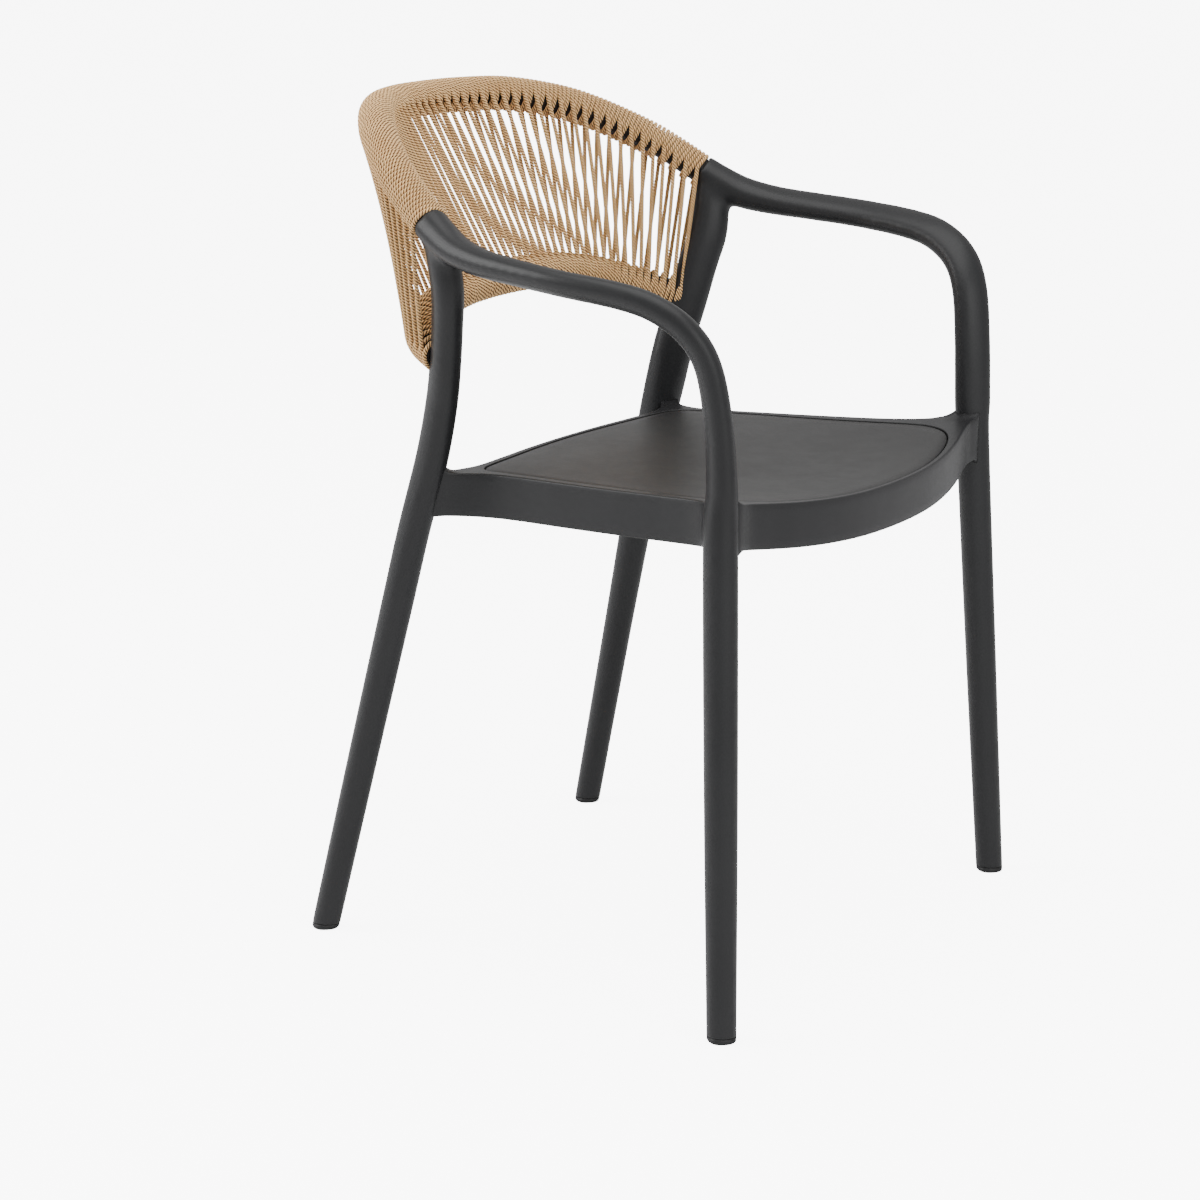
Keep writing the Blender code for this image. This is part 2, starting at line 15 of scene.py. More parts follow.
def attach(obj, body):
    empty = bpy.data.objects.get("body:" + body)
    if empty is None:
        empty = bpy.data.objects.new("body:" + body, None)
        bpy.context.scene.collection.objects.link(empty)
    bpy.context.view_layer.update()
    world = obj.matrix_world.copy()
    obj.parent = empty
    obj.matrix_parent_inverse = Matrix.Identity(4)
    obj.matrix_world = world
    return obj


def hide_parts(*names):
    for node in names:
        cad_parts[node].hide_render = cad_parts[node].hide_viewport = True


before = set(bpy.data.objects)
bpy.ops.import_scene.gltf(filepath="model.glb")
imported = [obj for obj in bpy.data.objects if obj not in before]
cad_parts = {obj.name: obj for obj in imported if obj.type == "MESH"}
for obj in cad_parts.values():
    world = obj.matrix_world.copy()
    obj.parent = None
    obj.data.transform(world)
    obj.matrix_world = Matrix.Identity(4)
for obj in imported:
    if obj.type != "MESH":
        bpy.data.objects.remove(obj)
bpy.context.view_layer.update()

# ---- side frames --------------------------------------------------------------------------
# Each side frame is one charcoal moulding: front leg, arm, rear leg and post, and the stub that
# carries the back's top rail. The leg flows round into the arm, and the post is blended into it.
LEG_ARM_PATH = [
    (0.2705, -0.2507, 0.0), (0.2582, -0.2362, 0.2150), (0.2461, -0.2221, 0.4300),
    (0.2435, -0.2205, 0.4750), (0.2455, -0.2165, 0.5300), (0.2515, -0.2085, 0.5780),
    (0.2600, -0.1930, 0.6060), (0.2680, -0.1660, 0.6240), (0.2725, -0.1335, 0.6320),
    (0.2750, -0.0798, 0.6370), (0.2673, -0.0260, 0.6410), (0.2600, 0.0090, 0.6440),
    (0.2510, 0.0400, 0.6500), (0.2430, 0.0620, 0.6595), (0.2368, 0.0790, 0.6690),
]
# half width, half thickness and lean of the section at each of those points
LEG_ARM_SECTION = [
    (0.0128, 0.0128, 45), (0.0144, 0.0144, 45), (0.0156, 0.0146, 45),
    (0.0172, 0.0126, 45), (0.0174, 0.0118, 42), (0.0174, 0.0114, 38),
    (0.0174, 0.0112, 34), (0.0174, 0.0110, 30), (0.0174, 0.0108, 26),
    (0.0172, 0.0106, 24), (0.0168, 0.0112, 22), (0.0166, 0.0122, 20),
    (0.0166, 0.0138, 20), (0.0162, 0.0150, 20), (0.0158, 0.0156, 20),
]
POST_PATH = [
    (0.2325, 0.1950, 0.0), (0.2255, 0.1728, 0.1075), (0.2185, 0.1505, 0.2150),
    (0.2115, 0.1280, 0.3225), (0.2075, 0.1143, 0.3870), (0.2040, 0.0975, 0.4550),
    (0.2055, 0.0867, 0.5050), (0.2122, 0.0785, 0.5420), (0.2205, 0.0712, 0.5810),
    (0.2290, 0.0655, 0.6120), (0.2345, 0.0665, 0.6400), (0.2372, 0.0705, 0.6590),
]
POST_SECTION = [
    (0.0126, 0.0126, 45), (0.0133, 0.0133, 45), (0.0142, 0.0138, 45),
    (0.0158, 0.0142, 45), (0.0172, 0.0142, 45), (0.0198, 0.0140, 45),
    (0.0200, 0.0138, 45), (0.0198, 0.0136, 45), (0.0194, 0.0136, 45),
    (0.0190, 0.0142, 45), (0.0172, 0.0142, 45), (0.0150, 0.0132, 45),
]
SQUARENESS = 2.35                 # 2 would be a plain oval, more is squarer
LEG_ARM_RINGS, POST_RINGS = 150, 90
FUSE_VOXEL = 0.0021               # the post and the arm are fused at this fineness
ARM_JOINT = (0.2370, 0.0680, 0.6450)
ARM_JOINT_FULL, ARM_JOINT_REACH = 0.038, 0.060  # where its fillet is full, and where it ends
ARM_JOINT_ROUNDS = 160            # more rounds fill the corner further
SMOOTH_ROUNDS = 5
GLIDE_HEIGHT = 0.006
SIDES = {"left": 1, "right": -1}
GRAIN_SIZE = 0.00045


class Sock:
    """A node's output, with the arithmetic that adds Math nodes."""

    def __init__(self, finish, socket):
        self.finish, self.socket = finish, socket

    def math(self, operation, *others):
        values = {0: self, **{k + 1: v for k, v in enumerate(others)}}
        return self.finish.node("ShaderNodeMath", {"operation": operation}, values)

    def __add__(self, other):
        return self.math("ADD", other)

    def __sub__(self, other):
        return self.math("SUBTRACT", other)

    def __rsub__(self, other):
        return (self * -1.0) + other

    def __mul__(self, other):
        return self.math("MULTIPLY", other)

    __radd__, __rmul__ = __add__, __mul__


class Finish:
    """A material under construction, with one method that makes any node."""

    def __init__(self, name):
        self.material = bpy.data.materials.new(name)
        self.material.use_nodes = True
        self.tree = self.material.node_tree
        self.shader = self.tree.nodes["Principled BSDF"]

    def node(self, kind, settings=None, values=None, output=0):
        made = self.tree.nodes.new(kind)
        for key, value in (settings or {}).items():
            if key == "stops":
                ramp = made.color_ramp
                while len(ramp.elements) < len(value):
                    ramp.elements.new(0.5)
                for element, (place, color) in zip(ramp.elements, value):
                    element.position, element.color = place, (*color, 1.0)
            else:
                setattr(made, key, value)
        for key, value in (values or {}).items():
            self.feed(made.inputs[key], value)
        return Sock(self, made.outputs[output])

    def feed(self, socket, value):
        if isinstance(value, Sock):
            self.tree.links.new(value.socket, socket)
        else:
            socket.default_value = value

    def set(self, **values):
        for key, value in values.items():
            self.feed(self.shader.inputs[key.replace("_", " ")], value)
        return self.material


def moulded_plastic(name, shade, sheen, grain):
    """Satin moulded plastic: a fine spark-eroded grain, faint clouding and a few rubbed patches."""
    finish = Finish(name)
    place = finish.node("ShaderNodeTexCoord", output=3)
    clouds = finish.node("ShaderNodeTexNoise", values={
        "Vector": place, "Scale": 9.0, "Detail": 4.0, "Roughness": 0.55})
    specks = finish.node("ShaderNodeTexNoise", values={
        "Vector": place, "Scale": 1 / GRAIN_SIZE, "Detail": 2.0, "Roughness": 0.6})
    rubs = finish.node("ShaderNodeTexNoise", values={
        "Vector": place, "Scale": 42.0, "Detail": 6.0, "Roughness": 0.7})
    dark, light = ([c * k for c in shade] for k in (0.86, 1.14))
    tone = finish.node("ShaderNodeValToRGB", {"stops": [(0.3, dark), (0.7, light)]},
                       {"Fac": clouds})
    fleck = finish.node("ShaderNodeMix", {"data_type": "RGBA", "blend_type": "MULTIPLY"}, {
        0: 0.25, 6: tone, 7: finish.node("ShaderNodeValToRGB", {
            "stops": [(0.25, (0.72, 0.72, 0.72)), (0.75, (1.0, 1.0, 1.0))]}, {"Fac": specks})},
        output=2)
    ripple = finish.node("ShaderNodeBump", values={
        "Strength": grain, "Distance": 0.00012, "Height": specks + clouds * 0.6})
    rough = sheen + (clouds - 0.5) * 0.12 + (rubs - 0.5) * 0.10
    return finish.set(Base_Color=fleck, Roughness=rough, Normal=ripple,
                      Specular_IOR_Level=0.29, IOR=1.48)


def spline_point(points, position, closed=False):
    """Catmull-Rom curve through points; position counts in points from the first."""
    count = len(points)
    index = min(int(position), count - (1 if closed else 2))
    t = position - index
    if closed:
        a, b, c, d = (points[(index + k) % count] for k in (-1, 0, 1, 2))
    else:
        b, c = points[index], points[index + 1]
        a = points[index - 1] if index > 0 else 2 * b - c
        d = points[index + 2] if index + 2 < count else 2 * c - b
    return 0.5 * (2 * b + (c - a) * t + (2 * a - 5 * b + 4 * c - d) * t * t
                  + (3 * b - a - 3 * c + d) * t ** 3)


def even_positions(points, count):
    """count positions evenly spaced by length along the curve through points."""
    steps = 40 * (len(points) - 1)
    grid = np.linspace(0, len(points) - 1, steps + 1)
    places = np.array([spline_point(points, p) for p in grid])
    run = np.concatenate([[0], np.cumsum(np.linalg.norm(np.diff(places, axis=0), axis=1))])
    return np.interp(np.linspace(0, run[-1], count), run, grid)


def loft(bm, rings, closed=False):
    """Walls from ring to ring of equal count, each ring extruded from the last and moved."""
    start = bmesh.ops.create_circle(bm, segments=len(rings[0]), radius=1.0)["verts"]
    for vert, place in zip(start, rings[0]):
        vert.co = place
    loop = start
    for ring in rings[1:]:
        on_loop = set(loop)
        edges = [e for e in {e for v in loop for e in v.link_edges} if on_loop.issuperset(e.verts)]
        raised = bmesh.ops.extrude_edge_only(bm, edges=edges)["geom"]
        fresh = {tuple(g.co): g for g in raised if isinstance(g, bmesh.types.BMVert)}
        loop = [fresh[tuple(v.co)] for v in loop]
        for vert, place in zip(loop, ring):
            vert.co = place
    if closed:
        ends = [e for e in bm.edges if len(e.link_faces) == 1]
        bmesh.ops.bridge_loops(bm, edges=ends)
    else:
        for end in (start, loop):
            bmesh.ops.contextual_create(bm, geom=end)
    bmesh.ops.recalc_face_normals(bm, faces=bm.faces)


def evaluated_mesh(thing):
    """A new mesh of an object as its modifiers or its bevel leave it; the object is removed."""
    made = thing.evaluated_get(bpy.context.evaluated_depsgraph_get())
    mesh = bpy.data.meshes.new_from_object(made)
    bpy.data.objects.remove(thing)
    return mesh


def place_piece(name, bm, material, slot, *nodes):
    """Makes bm a piece of the chair that stands for CAD nodes."""
    mesh = bpy.data.meshes.new(name)
    bm.to_mesh(mesh)
    bm.free()
    mesh.shade_smooth()
    piece = bpy.data.objects.new(name, mesh)
    bpy.context.scene.collection.objects.link(piece)
    if material:
        mesh.materials.append(material)
        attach(piece, "root")
        if nodes:
            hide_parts(*nodes)
    return piece


def squarish(sides=44):
    """Points round the squarish oval of unit size that is the section of the limbs."""
    turns = np.linspace(0, 2 * math.pi, sides, endpoint=False)
    return [(math.copysign(abs(math.cos(t)) ** (2 / SQUARENESS), math.cos(t)),
             math.copysign(abs(math.sin(t)) ** (2 / SQUARENESS), math.sin(t))) for t in turns]


def limb_rings(path, sections, side, stations):
    """Rings of a leg, arm or post: a squarish oval that changes along its path."""
    points = [Vector((side * x, y, z)) for x, y, z in path]
    ovals = [Vector(s) for s in sections]
    rings = []
    for position in even_positions(points, stations):
        center = spline_point(points, position)
        ahead = spline_point(points, min(position + 0.01, len(points) - 1))
        behind = spline_point(points, max(position - 0.01, 0))
        tangent = (ahead - behind).normalized()
        width, thickness, lean = spline_point(ovals, position)
        outward = Vector((side, 0, 0))
        outward = (outward - outward.dot(tangent) * tangent).normalized()
        crown = outward.cross(tangent) * side
        lean = math.radians(lean)
        wide = (outward * math.cos(lean) + crown * math.sin(lean)) * width
        thin = (crown * math.cos(lean) - outward * math.sin(lean)) * thickness
        rings.append([center + wide * u + thin * v for u, v in squarish()])
    return rings


def fill_corner(mesh, place, full, reach, rounds):
    """Fills a concave corner with a fillet: points near place only ever move outwards."""
    count = len(mesh.vertices)
    co = np.empty(count * 3)
    mesh.vertices.foreach_get("co", co)
    co = co.reshape(-1, 3)
    edges = np.empty(len(mesh.edges) * 2, int)
    mesh.edges.foreach_get("vertices", edges)
    edges = edges.reshape(-1, 2)
    ends, others = np.concatenate([edges, edges[:, ::-1]]).T
    shares = np.bincount(ends, minlength=count)[:, None]
    away = np.linalg.norm(co - np.array(place), axis=1)
    weight = np.clip((reach - away) / (reach - full), 0, 1)
    for k in range(rounds):
        if k % 4 == 0:
            mesh.vertices.foreach_set("co", co.ravel())
            mesh.update()
            normals = np.empty(count * 3, np.float32)
            mesh.vertex_normals.foreach_get("vector", normals)
            normals = normals.reshape(-1, 3)
        mean = np.stack([np.bincount(ends, co[others, a], count) for a in range(3)], 1) / shares
        outward = np.maximum(0, ((mean - co) * normals).sum(1)) * weight
        co = co + normals * outward[:, None]
    mesh.vertices.foreach_set("co", co.ravel())
    mesh.update()


frame_plastic = moulded_plastic("frame_plastic", (0.0135, 0.0135, 0.0145), 0.40, 0.35)
side_trees = []
for name, side in SIDES.items():
    bm = bmesh.new()
    loft(bm, limb_rings(LEG_ARM_PATH, LEG_ARM_SECTION, side, LEG_ARM_RINGS))
    loft(bm, limb_rings(POST_PATH, POST_SECTION, side, POST_RINGS))
    raw = place_piece(f"raw_frame_{name}", bm, None, None)
    remesh = raw.modifiers.new("fuse", "REMESH")
    remesh.mode, remesh.voxel_size, remesh.use_smooth_shade = "VOXEL", FUSE_VOXEL, True
    fused = evaluated_mesh(raw)
    corner = (side * ARM_JOINT[0], *ARM_JOINT[1:])
    fill_corner(fused, corner, ARM_JOINT_FULL, ARM_JOINT_REACH, ARM_JOINT_ROUNDS)
    bm = bmesh.new()
    bm.from_mesh(fused)
    bpy.data.meshes.remove(fused)
    for _ in range(SMOOTH_ROUNDS):
        bmesh.ops.smooth_vert(bm, verts=bm.verts, factor=0.5, use_axis_x=True, use_axis_y=True,
                              use_axis_z=True)
    cut = bmesh.ops.bisect_plane(bm, geom=bm.verts[:] + bm.edges[:] + bm.faces[:],
                                 plane_co=(0, 0, GLIDE_HEIGHT), plane_no=(0, 0, 1),
                                 clear_inner=True)
    rim = [g for g in cut["geom_cut"] if isinstance(g, bmesh.types.BMEdge)]
    bmesh.ops.holes_fill(bm, edges=rim)
    side_trees.append(BVHTree.FromBMesh(bm))
    place_piece(f"side_frame_moulding_{name}", bm, frame_plastic, "frame_plastic",
                f"side_frame_{name}")

# ---- foot glides --------------------------------------------------------------------------
# A black nylon glide under each leg: a foot of the leg's own section with a softened edge, and a
# stem that is pushed up into the leg.
STEM_RADIUS, STEM_FROM, STEM_TO = 0.0065, 0.0055, 0.0240
glide_nylon = moulded_plastic("glide_nylon", (0.0115, 0.0115, 0.0125), 0.46, 0.5)
for name, side in SIDES.items():
    for end, path, section in (("front", LEG_ARM_PATH, LEG_ARM_SECTION),
                               ("rear", POST_PATH, POST_SECTION)):
        foot, knee = (Vector((side * p[0], p[1], p[2])) for p in path[:2])
        lean = (knee - foot) / (knee - foot).z
        radius = section[0][0]
        profile = [(0.0, radius - 0.0026), (0.0003, radius - 0.0016), (0.0009, radius - 0.0008),
                   (0.0018, radius - 0.0003), (STEM_FROM, radius - 0.0001),
                   (STEM_FROM, STEM_RADIUS), (STEM_TO, STEM_RADIUS)]
        wide, thin = Vector((1, -side, 0)).normalized(), Vector((side, 1, 0)).normalized()
        bm = bmesh.new()
        loft(bm, [[foot + lean * z + r * (wide * u + thin * v) for u, v in squarish()]
                  for z, r in profile])
        place_piece(f"glide_{end}_{name}", bm, glide_nylon, "glide_nylon",
                    f"foot_glide_{end}_{name}")

# ---- seat frame ---------------------------------------------------------------------------
# The rim round the seat: a deep moulded band that hangs in the middle of the front, a flange with
# a ledge for the panel, and small fillets where it runs into the legs and posts.
FRAME_OUTLINE = [
    (0.0, -0.2655), (0.0600, -0.2633), (0.1100, -0.2570), (0.1550, -0.2476),
    (0.1900, -0.2378), (0.2130, -0.2325), (0.2350, -0.2325), (0.2510, -0.2200),
    (0.2420, -0.2060), (0.2225, -0.1880), (0.2120, -0.1500), (0.2040, -0.0900),
    (0.1965, -0.0300), (0.1910, 0.0120), (0.1895, 0.0400), (0.1930, 0.0580),
    (0.2010, 0.0740), (0.2105, 0.0865), (0.2040, 0.0965), (0.1810, 0.0875),
    (0.1560, 0.0810), (0.1150, 0.0830), (0.0600, 0.0873), (0.0, 0.0890),
]
PANEL_OUTLINE = [
    (0.0, -0.2590), (0.0560, -0.2570), (0.1040, -0.2505), (0.1440, -0.2405),
    (0.1700, -0.2300), (0.1850, -0.2195), (0.1940, -0.2070), (0.1985, -0.1930),
    (0.1992, -0.1780), (0.1980, -0.1600), (0.1945, -0.1300), (0.1890, -0.0800),
    (0.1840, -0.0250), (0.1800, 0.0080), (0.1778, 0.0320), (0.1765, 0.0470),
    (0.1748, 0.0550), (0.1704, 0.0618), (0.1640, 0.0665), (0.1560, 0.0690),
    (0.1400, 0.0712), (0.1050, 0.0745), (0.0550, 0.0790), (0.0, 0.0810),
]
POINTS_PER_SPAN = 10
SEAT_Z, SEAT_SLOPE, SEAT_HALF_WIDTH = 0.4466, 0.0594, 0.2268
SEAT_FRONT, SEAT_REAR, FRONT_DIP = -0.2655, 0.0890, 0.0175
BAND_HEIGHT, WALL, FLANGE = 0.0400, 0.0040, 0.0080
PANEL_STEP, PANEL_THICKNESS, GROOVE, LEDGE = 0.0006, 0.0045, 0.0012, 0.0080
BAND_LEAN = 0.25                  # the band leans back with the posts at its rear corners
BAND_LEAN_FROM, BAND_LEAN_FULL = (0.1400, 0.0450), (0.040, 0.030)
EDGE_ROUND, FOOT_ROUND = 0.0018, 0.0010  # the band's upper and lower edges
FILLET = 0.0100                   # reach of the small fillets against the legs and posts
CREASE = math.radians(38)         # edges sharper than this stay sharp


def seat_height(x, y):
    """Height of the seat's top face: a slope, with the front edge hanging in the middle."""
    across = max(0.0, 1 - (abs(x) / SEAT_HALF_WIDTH) ** 2.25)
    along = min(1.0, max(0.0, (SEAT_REAR - y) / (SEAT_REAR - SEAT_FRONT)))
    along = along * along * (3 - 2 * along)
    return SEAT_Z - SEAT_SLOPE * y - FRONT_DIP * across * along


def outline(half, inset=0.0):
    """The closed outline through a half and its mirror, moved inwards by inset."""
    points = [Vector(p) for p in half] + [Vector((-p[0], p[1])) for p in reversed(half[1:-1])]
    count = POINTS_PER_SPAN * len(points)
    loop = [spline_point(points, i / POINTS_PER_SPAN, closed=True) for i in range(count)]
    along = [(loop[(i + 1) % count] - loop[i - 1]).normalized() for i in range(count)]
    return [p + Vector((-a.y, a.x)) * inset for p, a in zip(loop, along)]


def curl(place):
    """How far a fillet has risen at place, by its distance from the nearest leg or post."""
    near = []
    for tree in side_trees:
        spot, normal, _, away = tree.find_nearest(place)
        near.append(away if (place - spot).dot(normal) > 0 else 0.0)
    return FILLET * 0.5 * (1 - min(min(near), FILLET) / FILLET) ** 2


def seat_ring(loop, drop, curled=0):
    """A ring at drop under the seat's top face; curled 1 rises into the legs, -1 falls."""
    places = [Vector((p.x, p.y, seat_height(p.x, p.y) - drop)) for p in loop]
    return [p + Vector((0, 0, curled * curl(p))) if curled else p for p in places]


def band_ring(loop, drop, curled=0):
    """A ring of the band, shifted back with its drop where it meets the posts."""
    shifted = []
    for p in loop:
        beside = min(1.0, max(0.0, (abs(p.x) - BAND_LEAN_FROM[0]) / BAND_LEAN_FULL[0]))
        behind = min(1.0, max(0.0, (p.y - BAND_LEAN_FROM[1]) / BAND_LEAN_FULL[1]))
        shifted.append(Vector((p.x, p.y + BAND_LEAN * drop * beside * behind)))
    return [Vector((*p, q.z)) for p, q in zip(shifted, seat_ring(loop, drop, curled))]


def between(loop_a, loop_b, share):
    return [a.lerp(b, share) for a, b in zip(loop_a, loop_b)]


groove_loop = outline(PANEL_OUTLINE, -GROOVE)
ledge_loop = outline(PANEL_OUTLINE, LEDGE)
seat_drop = PANEL_STEP + PANEL_THICKNESS + 0.0003
rings = []
lip_loop = outline(PANEL_OUTLINE, -GROOVE - 0.0005)
rim_loop = outline(FRAME_OUTLINE, EDGE_ROUND)
for share in (0.0, 0.12, 0.25, 0.4, 0.55, 0.7, 0.85, 1.0):
    rings.append(seat_ring(between(lip_loop, rim_loop, share), 0.0, 1))
for angle in (30, 60, 90):
    turn = math.radians(angle)
    rings.append(band_ring(outline(FRAME_OUTLINE, EDGE_ROUND * (1 - math.sin(turn))),
                           EDGE_ROUND * (1 - math.cos(turn)), 1))
for share in (0.2, 0.4, 0.6, 0.8):
    rings.append(band_ring(outline(FRAME_OUTLINE, 0.0), BAND_HEIGHT * share))
for angle in (90, 60, 30, 0):
    turn = math.radians(angle)
    rings.append(band_ring(outline(FRAME_OUTLINE, FOOT_ROUND * (1 - math.sin(turn))),
                           BAND_HEIGHT - FOOT_ROUND * (1 - math.cos(turn)), -1))
rings.append(band_ring(outline(FRAME_OUTLINE, WALL - FOOT_ROUND), BAND_HEIGHT, -1))
rings.append(band_ring(outline(FRAME_OUTLINE, WALL), BAND_HEIGHT - FOOT_ROUND, -1))
rings.append(band_ring(outline(FRAME_OUTLINE, WALL), FLANGE))
rings.append(seat_ring(ledge_loop, FLANGE + 0.001))
rings.append(seat_ring(ledge_loop, seat_drop))
rings.append(seat_ring(groove_loop, seat_drop))
rings.append(seat_ring(groove_loop, 0.0005))
bm = bmesh.new()
loft(bm, rings, closed=True)
# the bosses that take the bolts: middle, direction of the bolts, and reach from middle to outside
LUGS = [(0.2200, -0.2160, 0.0255, -0.0055, 0.0150), (0.1800, 0.0725, 0.0240, 0.0255, 0.0120)]
LUG_DROP, LUG_WIDTH, LUG_FACE, LUG_ROUND = 0.0330, 0.0160, 0.0040, 0.0015
for x, y, aim_x, aim_y, reach in LUGS:
    for side in SIDES.values():
        lug = bmesh.new()
        top = seat_height(x, y) - FLANGE + 0.002
        place = (Matrix.Translation((side * x, y, top - LUG_DROP / 2))
                 @ Matrix.Rotation(math.atan2(aim_y, side * aim_x), 4, "Z")
                 @ Matrix.Translation(((reach - LUG_FACE) / 2, 0, 0)))
        bmesh.ops.create_cube(lug, size=1, matrix=place @ Matrix.Diagonal(
            (reach + LUG_FACE, LUG_WIDTH, LUG_DROP, 1)))
        bmesh.ops.bevel(lug, geom=lug.edges, offset=LUG_ROUND, affect="EDGES", segments=3,
                        profile=0.5, material=-1)
        mesh = bpy.data.meshes.new("lug")
        lug.to_mesh(mesh)
        lug.free()
        bm.from_mesh(mesh)
        bpy.data.meshes.remove(mesh)
seat_rim = place_piece("seat_rim", bm, frame_plastic, "frame_plastic", "seat_frame")
seat_rim.data.set_sharp_from_angle(angle=CREASE)

# ---- seat panel ---------------------------------------------------------------------------
# The inset seat: a thin charcoal panel a little rougher than the frame, with softened edges and
# stiffening ribs moulded under it.
CROSS_RIBS_Y = (-0.1900, -0.1130, -0.0360, 0.0380)
LONG_RIBS_X = (-0.0900, 0.0, 0.0900)
CROSS_RIB_DEPTH, LONG_RIB_DEPTH, RIB_THICK = 0.0140, 0.0110, 0.0030
PANEL_RINGS, PANEL_SHRINK = 16, 0.93  # rings of faces from the edge in, and how far in they go
panel_plastic = moulded_plastic("panel_plastic", (0.0150, 0.0145, 0.0145), 0.44, 0.45)
panel_loop = outline(PANEL_OUTLINE)
middle = Vector((0.0, (PANEL_OUTLINE[0][1] + PANEL_OUTLINE[-1][1]) / 2))
scales = [1 - PANEL_SHRINK * (k / PANEL_RINGS) for k in range(PANEL_RINGS + 1)]
rings = []
for scale in reversed(scales):
    rings.append(seat_ring([middle + (p - middle) * scale for p in panel_loop],
                           PANEL_STEP + PANEL_THICKNESS))
rings.append(seat_ring(panel_loop, PANEL_STEP + 0.0012))
rings.append(seat_ring(outline(PANEL_OUTLINE, 0.0003), PANEL_STEP + 0.0005))
inner_loop = outline(PANEL_OUTLINE, 0.0012)
rings.append(seat_ring(inner_loop, PANEL_STEP))
for scale in scales[1:]:
    rings.append(seat_ring([middle + (p - middle) * scale for p in inner_loop], PANEL_STEP))
bm = bmesh.new()
loft(bm, rings)
for axis, places, depth in (("x", CROSS_RIBS_Y, CROSS_RIB_DEPTH),
                            ("y", LONG_RIBS_X, LONG_RIB_DEPTH)):
    for at in places:
        rib_rings = []
        for t in np.linspace(0, 1, 25):
            if axis == "x":
                reach = 0.155 if at > 0 else 0.165
                here, aside = Vector((reach * (2 * t - 1), at)), Vector((0, RIB_THICK / 2))
            else:
                here = Vector((at, CROSS_RIBS_Y[0] - 0.02 + t * (CROSS_RIBS_Y[-1] + 0.015
                                                                 - CROSS_RIBS_Y[0] + 0.02)))
                aside = Vector((RIB_THICK / 2, 0))
            top = seat_height(here.x, here.y) - PANEL_STEP - PANEL_THICKNESS / 2
            corners = [(here + aside, top), (here - aside, top),
                       (here - aside * 0.7, top - depth), (here + aside * 0.7, top - depth)]
            rib_rings.append([Vector((p.x, p.y, z)) for p, z in corners])
        loft(bm, rib_rings)
panel = place_piece("seat_panel_moulding", bm, panel_plastic, "panel_plastic", "seat_panel")
panel.data.set_sharp_from_angle(angle=CREASE)

# ---- fasteners ----------------------------------------------------------------------------
# Zinc-plated steel: socket-head bolts through the lugs, and pan-head screws under the panel.
zinc = Finish("zinc_plate")
spots = zinc.node("ShaderNodeTexNoise", values={
    "Vector": zinc.node("ShaderNodeTexCoord", output=3), "Scale": 900.0, "Detail": 4.0})
zinc.set(Base_Color=(0.60, 0.60, 0.58, 1.0), Metallic=1.0, Roughness=0.30 + spots * 0.15)
for node_name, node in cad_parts.items():
    if node_name.startswith(("seat_bolt", "panel_screw")):
        node.data.materials.clear()
        node.data.materials.append(zinc.material)

# ---- back rails ---------------------------------------------------------------------------
# The cores of the back's upper and lower rails are plain dark plastic, seen only in the gaps
# between the turns of rope.
TOP_RAIL_PATH = [
    (0.2368, 0.0790, 0.6690), (0.2244, 0.1078, 0.6881), (0.2103, 0.1324, 0.7035),
    (0.1804, 0.1686, 0.7237), (0.1514, 0.1954, 0.7358), (0.1068, 0.2253, 0.7447),
    (0.0553, 0.2443, 0.7464), (0.0, 0.2508, 0.7464),
]
LOWER_RAIL_PATH = [
    (0.2110, 0.0850, 0.5500), (0.1965, 0.1090, 0.5565), (0.1760, 0.1270, 0.5640),
    (0.1400, 0.1425, 0.5745), (0.0750, 0.1525, 0.5840), (0.0, 0.1555, 0.5865),
]
RAIL_RADIUS = 0.0126
rail_plastic = moulded_plastic("rail_plastic", (0.0130, 0.0105, 0.0095), 0.60, 0.4)
for node_name in ("top_rail", "lower_rail"):
    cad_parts[node_name].data.materials.clear()
    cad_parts[node_name].data.materials.append(rail_plastic)

# ---- rope ---------------------------------------------------------------------------------
# One three-strand twisted rope, honey tan. For each of 49 courses it takes two and a half turns
# round the top rail, runs down the front, takes one and a half turns round the lower rail and
# runs up the back.
ROPE_RADIUS = 0.0021
COURSES = 49
ROPE_LAY = 0.0088                 # length of one full twist of the three strands
RING_STEP = 0.0011
ROPE_LENGTHS = 6                  # the rope is laid in this many lengths, end to end
TOP_RATE, LOW_RATE = 3, 2         # turns round each rail while the rope moves on one course
RAIL_TRIM = 0.0006                # the winding stops this far short of a rail's ends
RAIL_POINTS = 801
STEPS_PER_TURN = 48


def rail_line(path, trim):
    """Evenly spaced middle points of a whole rail, from the right end to the left end."""
    points = ([Vector((-p[0], *p[1:])) for p in path[:-1]] + [Vector(p) for p in reversed(path)])
    dense = np.array([spline_point(points, p) for p in even_positions(points, RAIL_POINTS)])
    run = np.concatenate([[0], np.cumsum(np.linalg.norm(np.diff(dense, axis=0), axis=1))])
    wanted = np.linspace(trim, run[-1] - trim, RAIL_POINTS)
    return np.stack([np.interp(wanted, run, dense[:, a]) for a in range(3)], 1)


def unit(v):
    return v / np.linalg.norm(v, axis=-1, keepdims=True)


top_line = rail_line(TOP_RAIL_PATH, RAIL_TRIM)
low_line = rail_line(LOWER_RAIL_PATH, RAIL_TRIM)
fall = unit(low_line - top_line)
orbit = RAIL_RADIUS + 0.0002 + ROPE_RADIUS


